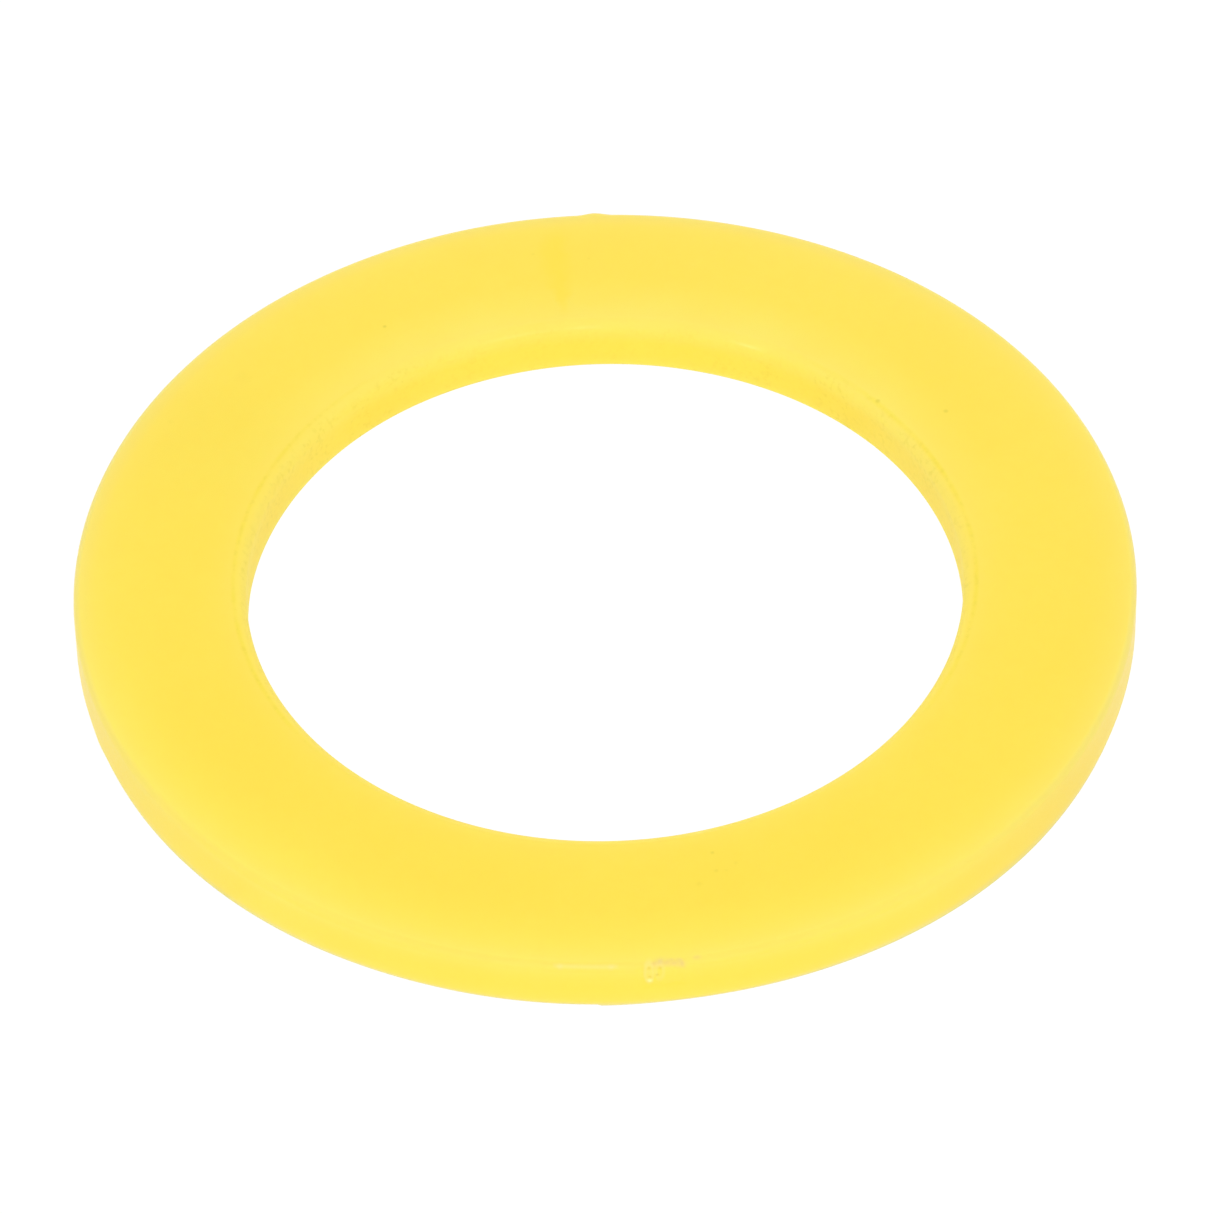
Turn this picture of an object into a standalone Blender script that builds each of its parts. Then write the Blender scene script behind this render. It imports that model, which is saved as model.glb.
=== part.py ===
"""Junior juggling ring: one flat, solid ring moulded in soft yellow plastic.

Metres, +Z up. The ring lies flat, with its underside on Z = 0 and its centre on the Z axis. The gate
mark, where the moulding was cut from its runner, is on the rim next to -Y.
"""

import math

import bpy

# Driving dimensions
OUTER_DIAMETER = 0.240
HOLE_DIAMETER = 0.162
THICKNESS = 0.013

# Rounding of the four edges. The hole's upper edge is the one a hand closes on, and the softest.
RIM_EDGE_RADIUS = 0.0018
HOLE_LOWER_EDGE_RADIUS = 0.0015
HOLE_UPPER_EDGE_RADIUS = 0.0030

# Fine groove in the upper face, left by the seam round the mould's core
WITNESS_WIDTH = 0.0006
WITNESS_DEPTH = 0.00015

# Gate mark: a shallow flat on the upper half of the rim
GATE_DEGREES = 275.0
GATE_LENGTH = 0.0083
GATE_HEIGHT = 0.0070
GATE_DEPTH = 0.00025
CUTTER_MARGIN = 0.002

# Fineness of the turned surface
TURN_STEPS = 144
EDGE_STEPS = 4
WELD_DISTANCE = 0.00001

RIM_RADIUS = OUTER_DIAMETER / 2
HOLE_RADIUS = HOLE_DIAMETER / 2

# Yellow soft plastic, satin
PLASTIC_COLOUR = (0.96, 0.70, 0.055, 1.0)
PLASTIC_ROUGHNESS = 0.36
PLASTIC_METALLIC = 0.0


def clear_scene():
    """Remove every object that the scene starts with."""
    for item in list(bpy.data.objects):
        bpy.data.objects.remove(item, do_unlink=True)


def make_collection(name):
    """A new collection in the scene."""
    collection = bpy.data.collections.new(name)
    bpy.context.scene.collection.children.link(collection)
    return collection


def make_material(name, colour, roughness, metallic):
    """A Principled material of one colour."""
    material = bpy.data.materials.new(name)
    material.use_nodes = True
    shader = material.node_tree.nodes["Principled BSDF"]
    shader.inputs["Base Color"].default_value = colour
    shader.inputs["Roughness"].default_value = roughness
    shader.inputs["Metallic"].default_value = metallic
    material.diffuse_color = colour
    return material


def edge_arc(corner_radius, corner_height, rounding, first_degrees, outward, upward):
    """Points along a quarter circle that rounds off one corner of the section.

    corner_radius and corner_height place the sharp corner. outward is 1 on the rim and -1 in the
    hole; upward is 1 on the upper face and -1 on the underside. The arc turns clockwise, with the
    rim to the right.
    """
    centre_radius = corner_radius - outward * rounding
    centre_height = corner_height - upward * rounding
    points = []
    for step in range(EDGE_STEPS + 1):
        angle = math.radians(first_degrees - 90.0 * step / EDGE_STEPS)
        radius = centre_radius + rounding * math.cos(angle)
        height = centre_height + rounding * math.sin(angle)
        points.append((radius, height))
    return points


def ring_section():
    """The closed section of the ring, as (radius, height), down the rim first."""
    section = []
    section += edge_arc(RIM_RADIUS, THICKNESS, RIM_EDGE_RADIUS, 90.0, 1, 1)
    section += edge_arc(RIM_RADIUS, 0.0, RIM_EDGE_RADIUS, 0.0, 1, -1)
    section += edge_arc(HOLE_RADIUS, 0.0, HOLE_LOWER_EDGE_RADIUS, -90.0, -1, -1)
    section += edge_arc(HOLE_RADIUS, THICKNESS, HOLE_UPPER_EDGE_RADIUS, 180.0, -1, 1)
    witness_start = HOLE_RADIUS + HOLE_UPPER_EDGE_RADIUS
    section.append((witness_start + WITNESS_WIDTH / 2, THICKNESS - WITNESS_DEPTH))
    section.append((witness_start + WITNESS_WIDTH, THICKNESS))
    return section


def turn(name, section, collection):
    """A solid of revolution about Z, from a closed section of (radius, height) points."""
    vertices = [(radius, 0.0, height) for radius, height in section]
    count = len(vertices)
    edges = [(index, (index + 1) % count) for index in range(count)]
    mesh = bpy.data.meshes.new(name)
    mesh.from_pydata(vertices, edges, [])
    solid = bpy.data.objects.new(name, mesh)
    collection.objects.link(solid)
    screw = solid.modifiers.new("turn", "SCREW")
    screw.axis = "Z"
    screw.angle = math.tau
    screw.steps = TURN_STEPS
    screw.render_steps = TURN_STEPS
    screw.use_merge_vertices = True
    screw.merge_threshold = WELD_DISTANCE
    screw.use_smooth_shade = True
    return solid


def make_gate_cutter(collection):
    """A block outside the rim, whose inner face is the flat of the gate mark."""
    block_depth = GATE_DEPTH + CUTTER_MARGIN
    block_height = GATE_HEIGHT + CUTTER_MARGIN
    centre_radius = RIM_RADIUS - GATE_DEPTH + block_depth / 2
    centre_height = THICKNESS - GATE_HEIGHT + block_height / 2
    angle = math.radians(GATE_DEGREES)
    bpy.ops.mesh.primitive_cube_add(size=1.0)
    cutter = bpy.context.active_object
    cutter.name = "gate_cutter"
    cutter.data.name = "gate_cutter"
    cutter.scale = (block_depth, GATE_LENGTH, block_height)
    cutter.location = (centre_radius * math.cos(angle), centre_radius * math.sin(angle), centre_height)
    cutter.rotation_euler = (0.0, 0.0, angle)
    cutter.hide_render = True
    cutter.display_type = "WIRE"
    for owner in list(cutter.users_collection):
        owner.objects.unlink(cutter)
    collection.objects.link(cutter)
    return cutter


def cut(solid, cutter, name):
    """Take the cutter's shape out of the solid."""
    boolean = solid.modifiers.new(name, "BOOLEAN")
    boolean.operation = "DIFFERENCE"
    boolean.solver = "EXACT"
    boolean.object = cutter


def make_ring(parts, cutters):
    """The ring itself: a single moulding."""
    ring = turn("ring", ring_section(), parts)
    cut(ring, make_gate_cutter(cutters), "gate_mark")
    plastic = make_material("yellow_plastic", PLASTIC_COLOUR, PLASTIC_ROUGHNESS, PLASTIC_METALLIC)
    ring.data.materials.append(plastic)
    return ring


def main():
    clear_scene()
    parts = make_collection("juggling_ring")
    cutters = make_collection("cutters")
    make_ring(parts, cutters)


main()
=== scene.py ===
"""Looks of the juggling ring: one moulding of soft, slightly translucent yellow plastic.

Metres, +Z up, the ring's axis on Z. Azimuths are in degrees, counted from +X towards +Y, so the side
nearest the camera is at 270 and the far side at 90. The material works in millimetres, and so do the
marks on the rim.
"""

import math

import bpy
import numpy as np
from mathutils import Euler, Matrix, Vector, noise


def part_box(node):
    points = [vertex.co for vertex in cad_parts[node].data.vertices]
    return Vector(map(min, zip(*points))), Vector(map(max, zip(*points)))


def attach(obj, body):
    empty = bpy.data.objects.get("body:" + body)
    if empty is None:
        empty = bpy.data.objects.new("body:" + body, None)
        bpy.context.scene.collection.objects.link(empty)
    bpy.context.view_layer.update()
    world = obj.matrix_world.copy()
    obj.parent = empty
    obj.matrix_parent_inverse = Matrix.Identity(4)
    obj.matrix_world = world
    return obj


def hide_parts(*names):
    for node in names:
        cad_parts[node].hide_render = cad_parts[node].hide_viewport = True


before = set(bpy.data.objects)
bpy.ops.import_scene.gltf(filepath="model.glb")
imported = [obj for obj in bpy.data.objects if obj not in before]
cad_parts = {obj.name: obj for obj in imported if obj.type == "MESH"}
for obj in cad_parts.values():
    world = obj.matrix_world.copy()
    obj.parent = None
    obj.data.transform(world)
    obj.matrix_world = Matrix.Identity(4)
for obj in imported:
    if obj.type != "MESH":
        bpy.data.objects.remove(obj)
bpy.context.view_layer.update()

MM = 0.001

# The frame's sizes
CAD_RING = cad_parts["ring"]
LOWEST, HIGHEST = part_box("ring")
RIM_RADIUS = HIGHEST.x
THICKNESS = HIGHEST.z - LOWEST.z
HOLE_RADIUS = min(math.hypot(vertex.co.x, vertex.co.y) for vertex in CAD_RING.data.vertices)
BAND_MIDDLE = (RIM_RADIUS + HOLE_RADIUS) / 2.0

# Rounding of the section's four edges
RIM_EDGE_RADIUS = 1.8 * MM
HOLE_LOWER_EDGE_RADIUS = 1.5 * MM
HOLE_UPPER_EDGE_RADIUS = 3.0 * MM

# Slow waviness of the whole surface: height, width of a lump, seed of the noise
WAVES = (
    (0.035 * MM, 32.0 * MM, 11.0),
    (0.012 * MM, 9.0 * MM, 23.0),
)

# Fine groove round the mould's core, darkened with painted shade, clearest on the left and right: azimuth,
# reach in degrees.
# It bends towards the hole at one place: azimuth, reach in degrees, how far.
WITNESS_RADIUS = HOLE_RADIUS + HOLE_UPPER_EDGE_RADIUS - 0.1 * MM
WITNESS_HALF_WIDTH = 0.9 * MM
WITNESS_DEPTH = 0.05 * MM
WITNESS_SIDES = ((178.0, 68.0), (8.0, 58.0))
WITNESS_BEND = (40.0, 42.0, 1.1 * MM)

# Gate mark on the rim, in millimetres. A place on the rim is given along it, from an azimuth towards
# +X, and by girth, down the section from where the upper rounding starts.
GATE_AZIMUTH = 275.0
GATE_HALF_LENGTH = 4.15
GATE_TOP = 0.5
GATE_FOOT = 7.0
GATE_DEPTH = 0.12
GATE_SOFTNESS = 1.5

# Its ovals: along, girth, half width, half height
GATE_LEFT_OVAL = (-3.05, 3.35, 0.85, 2.5)
GATE_RIGHT_OVAL = (-0.75, 3.3, 0.85, 2.1)
OVAL_LINE = 0.6

# Its smear, a low arch: start and end along, girth and place of the arch's top, half its thickness
GATE_SMEAR = (-1.8, 4.0, 0.85, -0.8, 1.7)
GATE_SMEAR_BEND = 0.03

# Small round places in it and beside it: along, girth, reach. The far spot is stretched along the rim.
# The glint is a painted highlight on a low bump.
GATE_GLINT = (-2.95, 5.65, 0.95)
GATE_SMEAR_TAIL = (4.6, 1.9, 1.5)
GATE_FAR_SPOT = (7.55, 0.65, 0.9, 1.7)
GATE_PITS = ((-0.7, 2.3, 0.75), (-1.3, 4.3, 0.75), (-2.85, 4.75, 0.75), (-3.05, 2.1, 0.75))

# The torn lumps: width of a lump, seed of the noise, start and end along
GATE_LUMP = 0.9
GATE_LUMP_SEED = 3.0
GATE_LUMP_SPAN = (-8.0, 9.0)

# Fine raised line on the rim's upper edge, and a low nub on the far side, in millimetres
STREAK_AZIMUTH = 267.0
STREAK_HALF_LENGTH = 6.6
STREAK_GIRTH = 1.25
NUB_AZIMUTH = 90.1
NUB_HEIGHT = 0.42
NUB_HALF_LENGTH = 4.2
NUB_GIRTH = 1.4
NUB_REACH = 1.8

# Painted highlights in fine lines along the hole's upper rounding: azimuth, reach and how far round the
# rounding in degrees, share
LIP_HIGHLIGHTS = (
    (103.0, 9.0, 50.0, 0.09),
    (92.5, 4.0, 50.0, 0.12),
    (65.0, 3.6, 50.0, 0.22),
    (283.3, 1.0, 20.0, 0.22),
    (267.2, 2.2, 22.0, 0.12),
)

# Where the lower edges were left sharper than round by the mould: azimuth, reach in degrees, share
RIM_FOOT_FILLS = ((219.0, 32.0, 0.5), (215.0, 60.0, 0.3), (317.0, 40.0, 1.0), (197.6, 3.5, 0.35))
HOLE_FOOT_FILLS = ((163.0, 42.0, 0.6), (90.0, 110.0, 0.3))

# Flash along the rim's foot: share, and its length either side of its azimuth in millimetres
FLASH_AZIMUTH = 268.6
FLASH_SHARE = 0.30
FLASH_START = 1.2
FLASH_TAIL = 19.0

# Weld line across the band, where the flows of plastic met on the far side of the mould
WELD_AZIMUTH = 95.2

# Dark specks and faint shades in the upper face: azimuth, radius and size in millimetres, darkness
SPECKS = (
    (121.0, 96.4, 0.65, 0.36),
    (32.0, 93.6, 0.80, 0.34),
    (40.0, 83.4, 0.80, 0.34),
    (284.2, 89.7, 0.60, 0.28),
    (283.8, 95.1, 0.75, 0.16),
    (281.1, 97.9, 1.00, 0.11),
    (286.7, 94.1, 0.65, 0.09),
    (285.1, 95.6, 0.60, 0.07),
    (98.0, 107.0, 0.60, 0.10),
    (91.0, 104.0, 0.55, 0.10),
    (152.0, 112.0, 1.50, 0.08),
    (141.0, 106.0, 3.50, 0.05),
    (152.0, 100.0, 28.0, 0.05),
)


# ---------------------------------------------------------------- the section of the ring


def arc(centre_radius, centre_height, rounding, first, steps):
    """A quarter circle of the section, clockwise from the direction first, in degrees."""
    turns = np.radians(np.linspace(first, first - 90.0, steps + 1))
    radii = centre_radius + rounding * np.cos(turns)
    heights = centre_height + rounding * np.sin(turns)
    return np.column_stack((radii, heights))


def run(start, end, steps, closer=False):
    """Points between start and end, without the two; closer packs them towards both ends."""
    shares = np.arange(1, steps) / steps
    if closer:
        shares = (1.0 - np.cos(math.pi * shares)) / 2.0
    start = np.array(start)
    return start + shares[:, None] * (np.array(end) - start)


def ring_section():
    """The closed section as (radius, height), clockwise with the rim to the right."""
    rim_turn = RIM_RADIUS - RIM_EDGE_RADIUS
    lower_turn = HOLE_RADIUS + HOLE_LOWER_EDGE_RADIUS
    upper_turn = HOLE_RADIUS + HOLE_UPPER_EDGE_RADIUS
    lip_height = THICKNESS - HOLE_UPPER_EDGE_RADIUS
    rim = arc(rim_turn, THICKNESS - RIM_EDGE_RADIUS, RIM_EDGE_RADIUS, 90.0, 12)
    foot = arc(rim_turn, RIM_EDGE_RADIUS, RIM_EDGE_RADIUS, 0.0, 12)
    hole_foot = arc(lower_turn, HOLE_LOWER_EDGE_RADIUS, HOLE_LOWER_EDGE_RADIUS, -90.0, 8)
    hole_lip = arc(upper_turn, lip_height, HOLE_UPPER_EDGE_RADIUS, 180.0, 14)
    groove = run(hole_lip[-1], (WITNESS_RADIUS + 2.0 * WITNESS_HALF_WIDTH, THICKNESS), 5)
    return np.vstack(
        (
            rim,
            run(rim[-1], foot[0], 26),
            foot,
            run(foot[-1], hole_foot[0], 12, closer=True),
            hole_foot,
            run(hole_foot[-1], hole_lip[0], 12, closer=True),
            hole_lip,
            groove,
            run(groove[-1], rim[0], 18, closer=True),
        )
    )


def section_normals(section):
    """Outward directions (radial, upward) at the points of a clockwise closed section."""
    tangent = np.roll(section, -1, axis=0) - np.roll(section, 1, axis=0)
    tangent /= np.linalg.norm(tangent, axis=1)[:, None]
    return np.column_stack((-tangent[:, 1], tangent[:, 0]))


# ---------------------------------------------------------------- measures for the marks


def fade(distance, reach):
    """1 at no distance, falling smoothly to 0 at reach."""
    share = np.clip(1.0 - np.abs(distance) / reach, 0.0, 1.0)
    return share * share * (3.0 - 2.0 * share)


def within(value, low, high, softness):
    """1 between low and high and 0 outside, with soft ends."""
    return fade(np.maximum(low - value, 0.0), softness) * fade(np.maximum(value - high, 0.0), softness)


def rough(points, scale, seed, mask):
    """Smooth noise between -1 and 1 where mask is above 0, with lumps about scale wide."""
    values = np.zeros(mask.shape)
    shift = Vector((seed, -seed, 2.0 * seed))
    for place in np.argwhere(mask > 0.0):
        place = tuple(place)
        values[place] = noise.noise(Vector(points[place] / scale) + shift)
    return values


def turned_from(azimuth, centre):
    """Degrees from the azimuth centre, between -180 and 180."""
    return (azimuth - centre + 180.0) % 360.0 - 180.0


def along_rim(azimuth, centre):
    """Millimetres along the rim from the azimuth centre, towards +X on the near side."""
    return np.radians(turned_from(azimuth, centre)) * RIM_RADIUS / MM


def rim_girth(radius, height):
    """Millimetres down the section from where the rim's upper rounding starts, negative on the face."""
    past_face = radius - (RIM_RADIUS - RIM_EDGE_RADIUS)
    below_round = (THICKNESS - RIM_EDGE_RADIUS) - height
    rounded = RIM_EDGE_RADIUS * np.arctan2(past_face, np.maximum(-below_round, 0.0))
    on_wall = RIM_EDGE_RADIUS * math.pi / 2.0 + below_round
    past_start = np.where(below_round > 0.0, on_wall, rounded)
    return np.where(past_face <= 0.0, past_face, past_start) / MM


def spot(along, girth, centre_along, centre_girth, reach, stretch_along=1.0, stretch_girth=1.0):
    """1 at a place on the rim, falling to 0 at reach, which can be stretched either way."""
    across = (along - centre_along) / stretch_along
    down = (girth - centre_girth) / stretch_girth
    return fade(np.hypot(across, down), reach)


def oval(along, girth, centre_along, centre_girth, half_width, half_height):
    """1 on an upright oval outline, falling to 0 a little to either side."""
    across = (along - centre_along) / half_width
    down = (girth - centre_girth) / half_height
    gap = (np.hypot(across, down) - 1.0) * half_width
    return fade(gap, OVAL_LINE)


# ---------------------------------------------------------------- marks of the moulding
# A mark is a relief, how far it stands out in metres, and the shares of whitening with painted highlight,
# scuffing, painted glint, painted shade in pits, and the groove.


def gate_mark(azimuth, girth, points):
    """The torn gate: a shallow flat, two oval rims with pits, a scuffed smear, and painted highlights, glint
    and pit shade.
    """
    along = along_rim(azimuth, GATE_AZIMUTH)
    flat = within(along, -GATE_HALF_LENGTH, GATE_HALF_LENGTH, GATE_SOFTNESS)
    flat = flat * within(girth, GATE_TOP, GATE_FOOT, GATE_SOFTNESS)
    left = oval(along, girth, *GATE_LEFT_OVAL)
    right = oval(along, girth, *GATE_RIGHT_OVAL)
    centre_along, centre_girth, half_width, half_height = GATE_LEFT_OVAL
    inside = spot(along, girth, centre_along, centre_girth, 1.6, half_width, half_height)
    glint = spot(along, girth, *GATE_GLINT)
    pits = np.maximum.reduce([spot(along, girth, *pit) for pit in GATE_PITS])

    lumps = rough(points, GATE_LUMP * MM, GATE_LUMP_SEED, within(along, *GATE_LUMP_SPAN, 1.0))
    smear_start, smear_end, smear_girth, smear_top, smear_reach = GATE_SMEAR
    drop = girth - smear_girth - GATE_SMEAR_BEND * (along - smear_top) ** 2
    smear = within(along, smear_start, smear_end, 1.2) * fade(drop + 0.3 * lumps, smear_reach)
    smear_tail = spot(along, girth, *GATE_SMEAR_TAIL)
    far_spot = spot(along, girth, *GATE_FAR_SPOT)

    relief = -GATE_DEPTH * flat + 0.10 * left + 0.05 * right + 0.20 * glint
    relief += 0.06 * smear * (0.4 + lumps) + 0.05 * flat * lumps - 0.10 * pits
    return MM * relief, {
        # whitening with painted highlights on the oval rims, a painted glint, and painted shade in the pits
        "whitened_highlit": np.maximum(np.maximum(0.07 * left, 0.045 * right), 0.045 * inside),
        "scuffed": 0.25 * smear * (1.0 + 0.5 * lumps) + 0.07 * smear_tail + 0.17 * far_spot,
        "painted_glint": 0.5 * glint,
        "pit_shade": 0.28 * pits,
    }


def streak_mark(azimuth, girth):
    """Relief and painted highlight of a fine raised line on the rim's upper edge, with a bead at each end."""
    along = along_rim(azimuth, STREAK_AZIMUTH)
    line = within(along, -STREAK_HALF_LENGTH, STREAK_HALF_LENGTH, 0.8)
    line = line * fade(girth - STREAK_GIRTH, 0.75)
    beads = spot(np.abs(along), girth, 0.84 * STREAK_HALF_LENGTH, STREAK_GIRTH + 0.15, 1.1)
    return MM * (0.06 * line + 0.08 * beads), 0.065 * line + 0.06 * beads


def nub_relief(azimuth, girth):
    """A low nub of flash on the far side of the rim's upper edge."""
    along = along_rim(azimuth, NUB_AZIMUTH)
    return NUB_HEIGHT * MM * fade(along, NUB_HALF_LENGTH) * fade(girth - NUB_GIRTH, NUB_REACH)


def lip_highlights(azimuth, radius, height):
    """Painted highlights of the fine lines along the hole's upper rounding."""
    total = np.zeros(azimuth.shape)
    for centre, reach, degrees_round, share in LIP_HIGHLIGHTS:
        turn = math.radians(degrees_round)
        line_radius = HOLE_RADIUS + HOLE_UPPER_EDGE_RADIUS * (1.0 - math.sin(turn))
        line_height = THICKNESS - HOLE_UPPER_EDGE_RADIUS * (1.0 - math.cos(turn))
        line = fade(np.hypot(radius - line_radius, height - line_height), 0.5 * MM)
        total += share * line * fade(turned_from(azimuth, centre), reach)
    return total


def witness_groove(azimuth, radius, height):
    """How much of the groove round the hole there is at every point."""
    sides = [fade(turned_from(azimuth, centre), reach) for centre, reach in WITNESS_SIDES]
    clear = np.minimum(1.6 * np.maximum.reduce(sides), 1.0)
    centre, reach, most = WITNESS_BEND
    line_radius = WITNESS_RADIUS - most * fade(turned_from(azimuth, centre), reach)
    line = fade(radius - line_radius, WITNESS_HALF_WIDTH) * (height > THICKNESS - 1.0 * MM)
    return line * clear


def sharpened(outward, upward, rounding):
    """How far a rounded edge lies inside the sharp corner, measured along its own normals."""
    return rounding * (1.0 / np.maximum(np.abs(outward), np.abs(upward)) - 1.0)


def fills(azimuth, places):
    """The summed shares of all the places at each azimuth, at most 1."""
    total = sum(share * fade(turned_from(azimuth, centre), reach) for centre, reach, share in places)
    return np.minimum(total, 1.0)


def flash_share(azimuth):
    """Share of flash along the rim's foot: it starts at once and thins out towards +X."""
    along = along_rim(azimuth, FLASH_AZIMUTH)
    return FLASH_SHARE * np.where(along < 0.0, fade(along, FLASH_START), fade(along, FLASH_TAIL))


def foot_relief(azimuth, radius, height, outward, upward):
    """Where the two lower edges are sharper than round."""
    below = height < THICKNESS / 2.0
    at_rim = below * (radius > BAND_MIDDLE)
    at_hole = below * (radius < BAND_MIDDLE)
    rim_share = fills(azimuth, RIM_FOOT_FILLS) + flash_share(azimuth)
    hole_share = fills(azimuth, HOLE_FOOT_FILLS)
    return (
        at_rim * rim_share * sharpened(outward, upward, RIM_EDGE_RADIUS)
        + at_hole * hole_share * sharpened(outward, upward, HOLE_LOWER_EDGE_RADIUS)
    )


def marks(azimuth, radius, height, outward, upward, points):
    """Relief from the plain turned section at every point, and the shares of each kind of mark."""
    everywhere = np.ones(radius.shape)
    relief = foot_relief(azimuth, radius, height, outward, upward)
    for wave_height, lump, seed in WAVES:
        relief += wave_height * rough(points, lump, seed, everywhere)

    girth = rim_girth(radius, height)
    on_rim = (radius > RIM_RADIUS - 2.0 * RIM_EDGE_RADIUS) * (height > THICKNESS / 3.0)
    gate, shares = gate_mark(azimuth, girth, points)
    streak, streak_highlight = streak_mark(azimuth, girth)
    relief += on_rim * (gate + streak + nub_relief(azimuth, girth))

    groove = witness_groove(azimuth, radius, height)
    relief -= WITNESS_DEPTH * groove
    shares = {name: on_rim * share for name, share in shares.items()}
    # the streak's painted highlight, and painted highlights in lines along the hole's lip
    shares["whitened_highlit"] += on_rim * streak_highlight
    shares["painted_glint"] += lip_highlights(azimuth, radius, height)
    shares["grooved"] = groove
    return relief, shares


# ---------------------------------------------------------------- the moulding

# Azimuths at which the section is repeated, closest together at the marks: start, end, step
STATION_SPANS = (
    (0.0, 86.5, 0.75),
    (86.5, 93.5, 0.25),
    (93.5, 262.0, 0.75),
    (262.0, 282.0, 0.1),
    (282.0, 360.0, 0.75),
)


def store(mesh, name, values):
    """A number on every point of the mesh, for the material to read."""
    layer = mesh.attributes.new(name, "FLOAT", "POINT")
    layer.data.foreach_set("value", values.ravel().astype(np.float32))


def make_moulding(name):
    """The whole ring as one closed mesh."""
    section = ring_section()
    normals = section_normals(section)
    stations = np.concatenate([np.arange(*span) for span in STATION_SPANS])
    azimuth, radius = np.meshgrid(stations, section[:, 0], indexing="ij")
    height = np.broadcast_to(section[:, 1], radius.shape)
    outward = np.broadcast_to(normals[:, 0], radius.shape)
    upward = np.broadcast_to(normals[:, 1], radius.shape)
    turn = np.radians(azimuth)
    points = np.stack((radius * np.cos(turn), radius * np.sin(turn), height), axis=-1)

    relief, shares = marks(azimuth, radius, height, outward, upward, points)
    new_radius = radius + relief * outward
    new_height = np.maximum(height + relief * upward, LOWEST.z)
    corners = np.stack((new_radius * np.cos(turn), new_radius * np.sin(turn), new_height), axis=-1)

    index = np.arange(radius.size).reshape(radius.shape)
    below = np.roll(index, -1, axis=1)
    beside = np.roll(index, -1, axis=0)
    diagonal = np.roll(below, -1, axis=0)
    faces = np.stack((index, below, diagonal, beside), axis=-1).reshape(-1, 4)
    mesh = bpy.data.meshes.new(name)
    mesh.from_pydata(corners.reshape(-1, 3).tolist(), [], faces.tolist())
    for kind, share in shares.items():
        store(mesh, kind, share)
    mesh.shade_smooth()
    moulding = bpy.data.objects.new(name, mesh)
    bpy.context.scene.collection.objects.link(moulding)
    return moulding


# ---------------------------------------------------------------- nodes


def direction(azimuth):
    """The level direction of an azimuth."""
    turn = math.radians(azimuth)
    return (math.cos(turn), math.sin(turn), 0.0)


class Nodes:
    """Makes the nodes of one material or world, with sockets or plain values as inputs."""

    def __init__(self, owner):
        owner.use_nodes = True
        self.tree = owner.node_tree
        kind = "Background" if isinstance(owner, bpy.types.World) else "Principled BSDF"
        self.shader = self.tree.nodes[kind]

    def feed(self, socket, value):
        """Link a socket to a socket, or set it to a plain value."""
        if isinstance(value, bpy.types.NodeSocket):
            self.tree.links.new(value, socket)
        else:
            socket.default_value = value

    def add(self, kind, inputs, output=0, **settings):
        """A new node with its inputs fed, and one of its outputs."""
        made = self.tree.nodes.new(kind)
        for name, value in settings.items():
            setattr(made, name, value)
        for key, value in inputs.items():
            self.feed(made.inputs[key], value)
        return made.outputs[output]

    def split(self, vector):
        """The X, Y and Z of a vector."""
        made = self.tree.nodes.new("ShaderNodeSeparateXYZ")
        self.feed(made.inputs["Vector"], vector)
        return made.outputs["X"], made.outputs["Y"], made.outputs["Z"]

    def math(self, operation, first, second=0.0, third=0.0):
        """One operation on numbers."""
        return self.add("ShaderNodeMath", {0: first, 1: second, 2: third}, operation=operation)

    def times(self, first, *others):
        """The product of all the values."""
        for other in others:
            first = self.math("MULTIPLY", first, other)
        return first

    def plus(self, first, *others):
        """The sum of all the values."""
        for other in others:
            first = self.math("ADD", first, other)
        return first

    def step(self, value, low, high, to_low=0.0, to_high=1.0):
        """Value between low and high, mapped smoothly to between to_low and to_high."""
        inputs = {"Value": value, "From Min": low, "From Max": high, "To Min": to_low, "To Max": to_high}
        return self.add("ShaderNodeMapRange", inputs, interpolation_type="SMOOTHSTEP")

    def vector(self, operation, first, second=(0.0, 0.0, 0.0), output=0):
        """One operation on vectors; output 1 is a number and output 0 a vector."""
        return self.add("ShaderNodeVectorMath", {0: first, 1: second}, output, operation=operation)

    def combine(self, x, y, z=0.0):
        """The vector of three numbers."""
        return self.add("ShaderNodeCombineXYZ", {"X": x, "Y": y, "Z": z})

    def noise(self, place, scale, detail=2.0):
        """Smooth noise between 0 and 1, with scale lumps to the millimetre."""
        inputs = {"Vector": place, "Scale": scale, "Detail": detail}
        return self.add("ShaderNodeTexNoise", inputs)

    def attribute(self, name):
        """A number stored on the mesh's points."""
        return self.add("ShaderNodeAttribute", {}, "Fac", attribute_name=name)

    def tint(self, share, under, over):
        """Colour under, replaced by colour over by the given share."""
        return self.add("ShaderNodeMix", {"Factor": share, 6: under, 7: over}, 2, data_type="RGBA")

    def toward(self, place, azimuth):
        """How far a place lies from the ring's axis towards an azimuth."""
        return self.vector("DOT_PRODUCT", place, direction(azimuth), 1)

    def sideways(self, place, azimuth):
        """How far a place lies from the ring's axis towards an azimuth or away from it."""
        return self.math("ABSOLUTE", self.toward(place, azimuth))


# ---------------------------------------------------------------- the plastic

# The section's sizes in millimetres, as the material uses them
RIM = RIM_RADIUS / MM
HOLE = HOLE_RADIUS / MM
TOP = THICKNESS / MM

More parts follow.
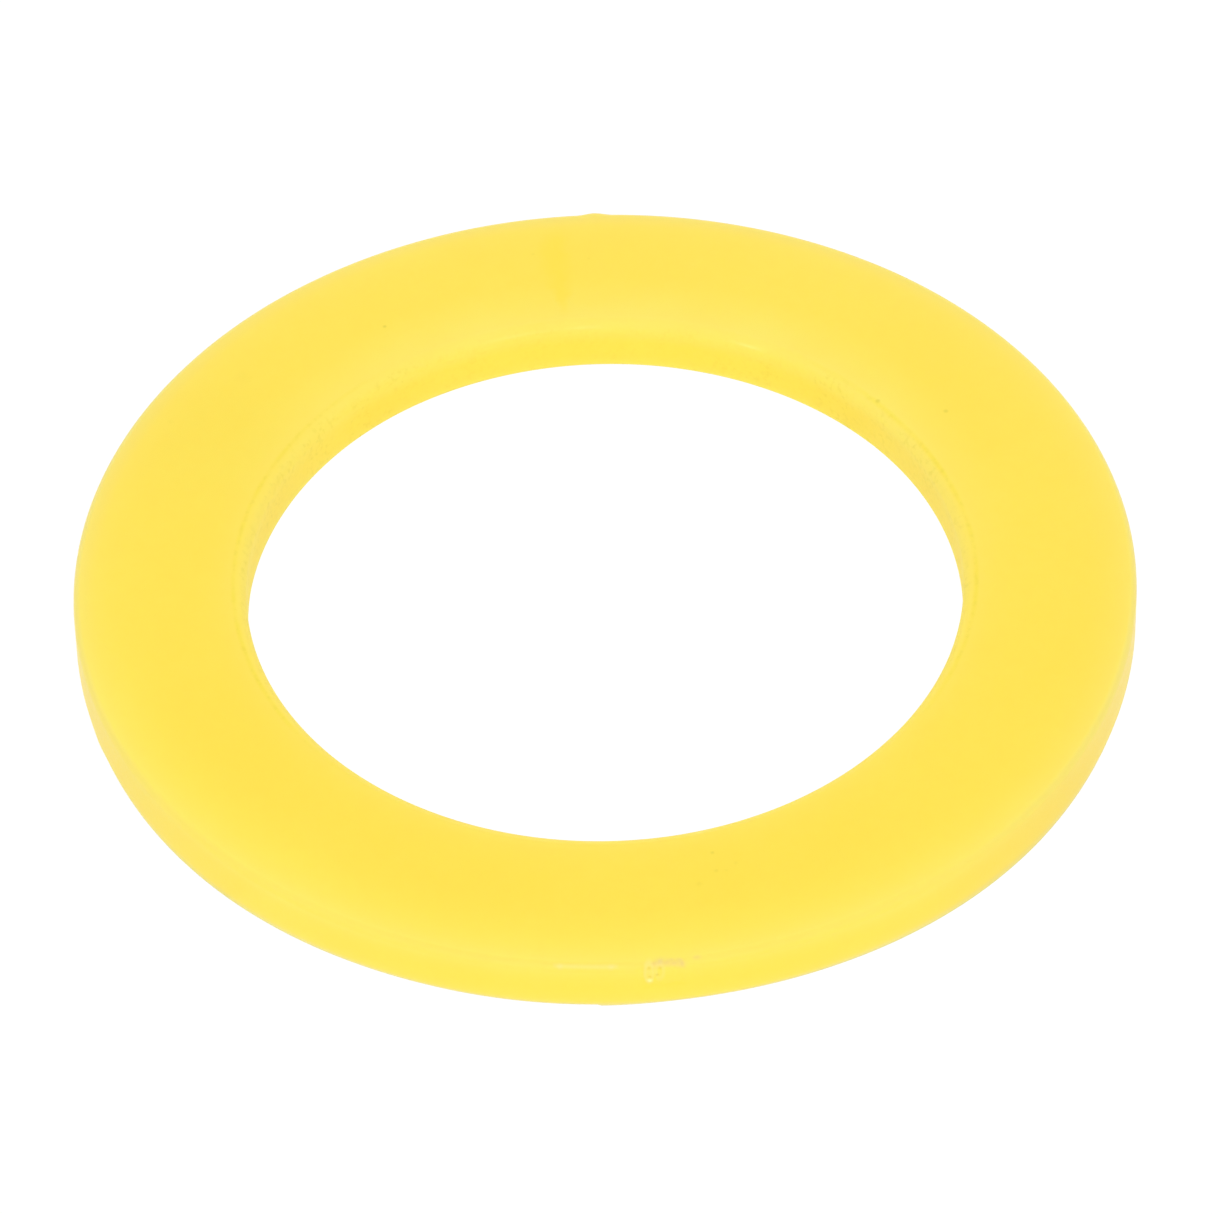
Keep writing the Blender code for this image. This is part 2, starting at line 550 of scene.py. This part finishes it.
# Colours of the plastic, of what lies over it, and of the painted light and shade
YELLOW = (0.94, 0.709, 0.043, 1.0)
CLOUDY = (0.94, 0.721, 0.049, 1.0)
MOTTLED = (0.94, 0.698, 0.038, 1.0)
WHITE = (1.0, 1.0, 1.0, 1.0)
PAINTED_LIGHT = (0.94, 1.0, 0.115, 1.0)
PAINTED_SHEEN = (0.80, 1.0, 0.29, 1.0)
LIT_WALL = (0.94, 1.0, 0.06, 1.0)
EDGE_HIGHLIGHT = (0.75, 0.80, 0.40, 1.0)
WELDED = (0.94, 0.708, 0.036, 1.0)
WHITENED_HIGHLIT = (0.93, 0.88, 1.0, 1.0)
GLINT_PAINT = (0.94, 1.0, 0.45, 1.0)
SCUFFED = (0.64, 0.40, 0.34, 1.0)
RIM_SHADE_AND_SHEEN = (0.62, 0.55, 0.31, 1.0)
DEEP_SIDE = (0.80, 0.55, 0.0, 1.0)
WARM_SIDE_SHADE = (0.90, 0.70, 0.0, 1.0)
SIDE_SHEEN = (0.80, 0.85, 0.42, 1.0)
HOLE_SHEEN = (0.50, 0.58, 0.40, 1.0)
GROOVE_SHADE = (0.84, 0.68, 0.0, 1.0)
DARK = (0.55, 0.44, 0.0, 1.0)

# Painted highlight near the section's four corners: radius, height, share, reach along the face and the wall
CORNER_HIGHLIGHTS = (
    (RIM, TOP, 0.20, 4.2, 2.4),
    (RIM, 0.0, 0.30, 4.2, 1.7),
    (HOLE, TOP, 0.165, 3.6, 2.2),
    (HOLE, 0.0, 0.16, 3.6, 1.6),
)


def painted_edge_highlight(nodes, radius, height):
    """How much paler the plastic is painted near the section's four corners: painted highlight and painted
    light through the edges.
    """
    total = 0.0
    for corner_radius, corner_height, most, reach_along_face, reach_along_wall in CORNER_HIGHLIGHTS:
        in_radius = nodes.math("DIVIDE", nodes.plus(radius, -corner_radius), reach_along_face)
        in_height = nodes.math("DIVIDE", nodes.plus(height, -corner_height), reach_along_wall)
        apart = nodes.vector("LENGTH", nodes.combine(in_radius, in_height), output=1)
        share = nodes.math("EXPONENT", nodes.times(apart, -1.0))
        total = nodes.math("MULTIPLY_ADD", share, most, total)
    return total


def far_painted_sheen(nodes, place, radius, height):
    """Painted sheen: a pale zone on the far half of the upper face, next to the hole."""
    far = nodes.step(nodes.toward(place, 82.0), 0.0, 85.0)
    across = nodes.step(radius, HOLE + 5.0, HOLE + 18.0, 0.10, 0.0)
    uneven = nodes.step(nodes.noise(place, 0.06), 0.3, 0.7, 0.75, 1.2)
    upper = nodes.step(height, TOP - 6.0, TOP - 1.0)
    return nodes.times(far, across, uneven, upper)


def near_painted_light(nodes, place, radius, height):
    """Painted light: a brighter zone of the upper face along the near half of the rim."""
    near = nodes.step(nodes.toward(place, 252.0), -10.0, 118.0)
    rise = nodes.step(radius, RIM - 20.0, RIM - 1.5, 0.0, 0.17)
    most_fall = nodes.step(height, TOP - 2.2, TOP - 1.0, 0.09, 0.16)
    fall = nodes.step(radius, RIM - 2.0, RIM - 0.7, 0.0, most_fall)
    upper = nodes.step(height, TOP - 4.0, TOP - 0.1, 0.85, 1.0)
    return nodes.times(near, nodes.math("SUBTRACT", rise, fall), upper)


def rim_shade_and_sheen(nodes, place, radius, height):
    """Painted contact shade along the rim's foot, and a painted dull sheen on the far half of its upper edge.
    """
    far = nodes.step(nodes.toward(place, 108.0), -10.0, 85.0, 0.0, 0.12)
    upper = nodes.times(nodes.step(radius, RIM - 5.5, RIM - 1.0), nodes.step(height, TOP - 3.0, TOP - 0.5))
    foot = nodes.times(nodes.step(radius, RIM - 3.0, RIM - 0.7), nodes.step(height, 0.3, 2.6, 0.35, 0.0))
    return nodes.math("MULTIPLY_ADD", far, upper, foot)


def rim_wall(nodes, radius):
    """1 on the rim's wall, and 0 a little way in from it."""
    return nodes.step(radius, RIM - 1.4, RIM - 0.4)


def side_shade(nodes, place, radius):
    """Painted shade: a deeper tone of the rim's wall on its left and right."""
    side = nodes.step(nodes.sideways(place, 355.0), 65.0, 118.0, 0.0, 0.40)
    return nodes.times(rim_wall(nodes, radius), side)


def side_warm_shade(nodes, place, radius, height):
    """Painted shade: a purer yellow of the rim's wall on its left and right, below the rounded edge."""
    side = nodes.step(nodes.sideways(place, 10.0), 78.0, 118.0, 0.0, 0.30)
    below = nodes.step(height, TOP - 2.4, TOP - 1.3, 1.0, 0.0)
    return nodes.times(rim_wall(nodes, radius), below, side)


def side_sheen(nodes, place, radius, height):
    """Painted sheen: a dull, paler tone on the left and right of the rim's upper edge."""
    side = nodes.step(nodes.sideways(place, 355.0), 62.0, 130.0, 0.0, 0.23)
    upper = nodes.step(height, TOP - 2.0, TOP - 0.9)
    return nodes.times(nodes.step(radius, RIM - 1.7, RIM - 0.5), upper, side)


def hole_sheen(nodes, place, radius):
    """Painted sheen: a dull, paler tone on the left and right of the hole's wall."""
    at_wall = nodes.step(radius, HOLE + 0.2, HOLE + 2.0, 1.0, 0.0)
    return nodes.times(at_wall, nodes.step(nodes.sideways(place, 3.0), 50.0, 80.0), 0.08)


def far_wall_light(nodes, place, radius, height):
    """Painted light: a slightly lighter lower half of the hole's wall, on the far side."""
    at_wall = nodes.step(radius, HOLE + 0.5, HOLE + 2.0, 1.0, 0.0)
    far = nodes.step(nodes.toward(place, 88.0), 60.0, 81.0)
    return nodes.times(at_wall, far, nodes.step(height, TOP - 6.0, TOP - 2.0, 0.08, 0.0))


def weld_line(nodes, place, radius):
    """How clear the weld line is: a streak that narrows towards the hole."""
    wander = nodes.math("MULTIPLY_ADD", nodes.noise(place, 0.22, 3.0), 4.0, -2.0)
    apart = nodes.math("ABSOLUTE", nodes.plus(nodes.toward(place, WELD_AZIMUTH + 90.0), wander))
    width = nodes.step(radius, HOLE + 3.0, HOLE + 23.0, 1.0, 4.0)
    share = nodes.step(nodes.math("DIVIDE", apart, width), 0.1, 1.35, 0.75, 0.0)
    start = nodes.step(radius, HOLE + 2.0, HOLE + 12.0)
    end = nodes.step(radius, RIM - 11.0, RIM - 4.0, 1.0, 0.0)
    far = nodes.step(nodes.toward(place, WELD_AZIMUTH), 20.0, 60.0)
    return nodes.times(share, far, start, end)


def hole_wall_speckle(nodes, place, radius):
    """Soft dark speckle on the wall of the hole and its rounded edges, most on the left and right."""
    at_wall = nodes.step(radius, HOLE + 0.3, HOLE + 2.6, 1.0, 0.0)
    speckle = nodes.step(nodes.noise(place, 0.75), 0.46, 0.72, 0.0, 0.17)
    patches = nodes.step(nodes.noise(place, 0.10), 0.38, 0.62, 0.3, 1.0)
    side = nodes.step(nodes.sideways(place, 3.0), 15.0, 55.0, 0.45, 1.0)
    return nodes.times(at_wall, speckle, patches, side)


def specks(nodes, place, height):
    """The few dark specks in the upper face."""
    total = 0.0
    in_plane = nodes.vector("MULTIPLY", place, (1.0, 1.0, 0.0))
    for azimuth, radius, size, darkness in SPECKS:
        centre = tuple(radius * part for part in direction(azimuth))
        apart = nodes.vector("DISTANCE", in_plane, centre, 1)
        total = nodes.math("MAXIMUM", nodes.step(apart, 0.1 * size, 1.1 * size, darkness, 0.0), total)
    return nodes.times(total, nodes.step(height, TOP - 0.6, TOP - 0.2))


def groove_shade(nodes, place):
    """Painted shade of the groove: a dull tone along it, and dark dashes."""
    grooved = nodes.attribute("grooved")
    dull = nodes.times(grooved, nodes.step(nodes.noise(place, 0.12), 0.35, 0.65, 0.16, 0.42))
    dashes = nodes.times(grooved, nodes.step(nodes.noise(place, 0.6, 3.0), 0.48, 0.70, 0.0, 0.14))
    return dull, dashes


def plastic_colour(nodes, place, radius, height):
    """The plastic's colour, with each layer tinting those before it."""
    dull, dashes = groove_shade(nodes, place)
    speckle = hole_wall_speckle(nodes, place, radius)
    # Painted shade of the groove's dashes and of the pits, with the real specks and speckle
    dark = nodes.plus(dashes, speckle, specks(nodes, place, height), nodes.attribute("pit_shade"))
    # Painted light and shade among these layers: the far-side whitening, the near light, the far sheen, the
    # far wall's light, the corner highlights, the highlights and glint, the rim's shade and sheen, the side
    # shades, the side and hole sheens, and the groove's and pits' shade
    layers = (
        (nodes.step(nodes.noise(place, 0.035, 3.0), 0.3, 0.7), CLOUDY),
        (nodes.step(nodes.noise(place, 0.35, 3.0), 0.35, 0.7, 0.0, 0.25), MOTTLED),
        # Painted light: the plastic a little whiter towards the far side
        (nodes.step(nodes.toward(place, 85.0), -90.0, 100.0, 0.0, 0.012), WHITE),
        (near_painted_light(nodes, place, radius, height), PAINTED_LIGHT),
        (far_painted_sheen(nodes, place, radius, height), PAINTED_SHEEN),
        (far_wall_light(nodes, place, radius, height), LIT_WALL),
        (painted_edge_highlight(nodes, radius, height), EDGE_HIGHLIGHT),
        (weld_line(nodes, place, radius), WELDED),
        (nodes.attribute("whitened_highlit"), WHITENED_HIGHLIT),
        (nodes.attribute("painted_glint"), GLINT_PAINT),
        (nodes.attribute("scuffed"), SCUFFED),
        (rim_shade_and_sheen(nodes, place, radius, height), RIM_SHADE_AND_SHEEN),
        (side_shade(nodes, place, radius), DEEP_SIDE),
        (side_warm_shade(nodes, place, radius, height), WARM_SIDE_SHADE),
        (side_sheen(nodes, place, radius, height), SIDE_SHEEN),
        (hole_sheen(nodes, place, radius), HOLE_SHEEN),
        (dull, GROOVE_SHADE),
        (dark, DARK),
    )
    colour = YELLOW
    for share, over in layers:
        colour = nodes.tint(share, colour, over)
    return colour


def make_plastic():
    """Yellow soft plastic: colour with painted light and shade, gloss and fine relief."""
    plastic = bpy.data.materials.new("yellow_plastic_moulded")
    nodes = Nodes(plastic)
    object_place = nodes.add("ShaderNodeTexCoord", {}, "Object")
    place = nodes.vector("MULTIPLY", object_place, (1.0 / MM, 1.0 / MM, 1.0 / MM))
    across, away, height = nodes.split(place)
    radius = nodes.vector("LENGTH", nodes.combine(across, away), output=1)
    nodes.feed(nodes.shader.inputs["Base Color"], plastic_colour(nodes, place, radius, height))

    grain = nodes.noise(place, 1.6, 3.0)
    at_hole = nodes.step(radius, HOLE + 0.2, HOLE + 3.0, 0.30, 0.0)
    nodes.feed(nodes.shader.inputs["Roughness"], nodes.plus(nodes.step(grain, 0.2, 0.8, 0.30, 0.40), at_hole))
    bump = nodes.add("ShaderNodeBump", {"Height": grain, "Distance": 0.02 * MM, "Strength": 0.6})
    nodes.feed(nodes.shader.inputs["Normal"], bump)
    nodes.shader.inputs["Subsurface Weight"].default_value = 0.3
    nodes.shader.inputs["Subsurface Radius"].default_value = (1.0, 0.8, 0.3)
    nodes.shader.inputs["Subsurface Scale"].default_value = 5.0 * MM
    nodes.shader.inputs["IOR"].default_value = 1.45
    return plastic


# ---------------------------------------------------------------- floor, light and camera

FLOOR_GAP = 0.02 * MM
FLOOR_HALF_SIZE = 60.0 * RIM_RADIUS
FLOOR_GREY = (0.06, 0.06, 0.06, 1.0)
FLOOR_GLOW = 0.97

# The studio's light: an even dome, and soft lights in it. For each: azimuth and elevation of the
# middle, degrees from it at which the light is still full and at which it ends, and strength.
DOME_STRENGTH = 1.03
SOFT_LIGHTS = (
    (270.0, 10.0, 10.0, 52.0, 0.42),
    (90.0, 20.0, 12.0, 29.0, 0.20),
)

CAMERA_ELEVATION = 45.346
CAMERA_ROLL = -1.469
CAMERA_DISTANCE = 15.967 * RIM_RADIUS
CAMERA_REACH = 100.0
SENSOR_WIDTH = 36.0
CAMERA_LENS = 251.07
CAMERA_SHIFT = (0.00158, -0.01139)


def make_floor():
    """A white floor, lit from within so that it stays white under the ring."""
    half = FLOOR_HALF_SIZE
    mesh = bpy.data.meshes.new("floor")
    level = LOWEST.z - FLOOR_GAP
    corners = [(-half, -half, level), (half, -half, level), (half, half, level), (-half, half, level)]
    mesh.from_pydata(corners, [], [(0, 1, 2, 3)])
    floor = bpy.data.objects.new("floor", mesh)
    bpy.context.scene.collection.objects.link(floor)
    white = bpy.data.materials.new("studio_white")
    nodes = Nodes(white)
    nodes.shader.inputs["Base Color"].default_value = FLOOR_GREY
    nodes.shader.inputs["Roughness"].default_value = 1.0
    nodes.shader.inputs["Specular IOR Level"].default_value = 0.0
    nodes.shader.inputs["Emission Color"].default_value = WHITE
    nodes.shader.inputs["Emission Strength"].default_value = FLOOR_GLOW
    mesh.materials.append(white)


def make_world():
    """A white dome with two low soft lights in it: one in front of the ring, and one behind."""
    world = bpy.data.worlds.new("studio")
    nodes = Nodes(world)
    outward = nodes.add("ShaderNodeTexCoord", {}, "Generated")
    light = DOME_STRENGTH
    for azimuth, elevation, full, end, strength in SOFT_LIGHTS:
        turned = Euler((0.0, -math.radians(elevation), math.radians(azimuth))).to_matrix()
        middle = turned @ Vector((1.0, 0.0, 0.0))
        toward = nodes.vector("DOT_PRODUCT", outward, tuple(middle), output=1)
        lobe = nodes.step(toward, math.cos(math.radians(end)), math.cos(math.radians(full)))
        light = nodes.math("MULTIPLY_ADD", lobe, strength, light)
    nodes.feed(nodes.shader.inputs["Color"], light)
    bpy.context.scene.world = world


def make_camera():
    """A long lens at the height and tilt from which the ring was seen."""
    middle = (LOWEST + HIGHEST) / 2.0
    data = bpy.data.cameras.new("camera")
    data.sensor_width = SENSOR_WIDTH
    data.lens = CAMERA_LENS
    data.shift_x, data.shift_y = CAMERA_SHIFT
    data.clip_end = CAMERA_REACH
    camera = bpy.data.objects.new("camera", data)
    elevation = math.radians(CAMERA_ELEVATION)
    back = Vector((0.0, -math.cos(elevation), math.sin(elevation)))
    tilt = Matrix.Rotation(math.pi / 2.0 - elevation, 4, "X")
    roll = Matrix.Rotation(math.radians(CAMERA_ROLL), 4, "Z")
    camera.matrix_world = Matrix.Translation(middle + CAMERA_DISTANCE * back) @ tilt @ roll
    bpy.context.scene.collection.objects.link(camera)
    bpy.context.scene.camera = camera


# ---------------------------------------------------------------- the scene


moulding = make_moulding("moulding")
moulding.data.materials.append(make_plastic())
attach(moulding, "root")
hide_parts("ring")
make_floor()
make_world()
make_camera()
bpy.context.scene.view_settings.view_transform = "Standard"
